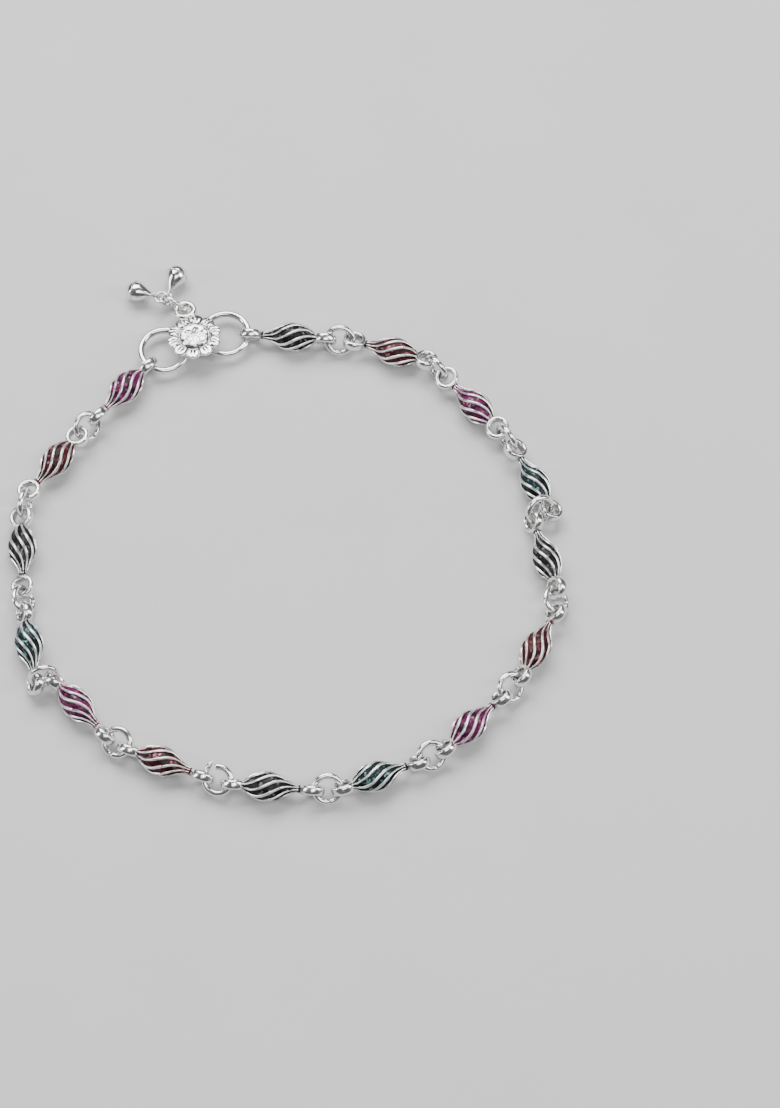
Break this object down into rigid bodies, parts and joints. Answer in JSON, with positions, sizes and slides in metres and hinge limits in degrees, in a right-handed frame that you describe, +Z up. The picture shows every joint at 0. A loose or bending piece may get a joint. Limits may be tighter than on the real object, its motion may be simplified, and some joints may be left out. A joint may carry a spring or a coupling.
{
  "type": "anklet",
  "caption": "Silver ankle chain of spiral-fluted enamel beads joined by jump rings, closed by a flower hook clasp with hanging teardrop bells.",
  "frame": {"origin": "on the table, under the middle of the box around the closed anklet", "axes": "+Z up from the table, +X to the right and +Y away from the viewer, with the clasp at the far left"},
  "size_m": [0.0894, 0.0958, 0.0064],
  "materials": {
    "silver": "polished silver",
    "enamel_black": "silver ribs over black enamel",
    "enamel_maroon": "silver ribs over maroon enamel",
    "enamel_purple": "silver ribs over purple enamel",
    "enamel_teal": "silver ribs over dark teal enamel"
  },
  "bodies": {
    "root": {"bead_01": "enamel_black", "bead_02": "enamel_maroon", "bead_03": "enamel_purple", "bead_04": "enamel_teal", "bead_05": "enamel_black", "bead_06": "enamel_maroon", "bead_07": "enamel_purple", "bead_08": "enamel_teal", "bead_09": "enamel_black", "bead_10": "enamel_maroon", "bead_11": "enamel_purple", "bead_12": "enamel_teal", "bead_13": "enamel_black", "bead_14": "enamel_maroon", "bead_15": "enamel_purple", "jump_ring_01": "silver", "jump_ring_02": "silver", "jump_ring_03": "silver", "jump_ring_04": "silver", "jump_ring_05": "silver", "jump_ring_06": "silver", "jump_ring_07": "silver", "jump_ring_08": "silver", "jump_ring_09": "silver", "jump_ring_10": "silver", "jump_ring_11": "silver", "jump_ring_12": "silver", "jump_ring_13": "silver", "jump_ring_14": "silver", "clasp": "silver", "clasp_ring": "silver", "bell_ring": "silver", "bell_link_left": "silver", "bell_link_right": "silver", "bell_left": "silver", "bell_right": "silver"}
  },
  "joints": []
}
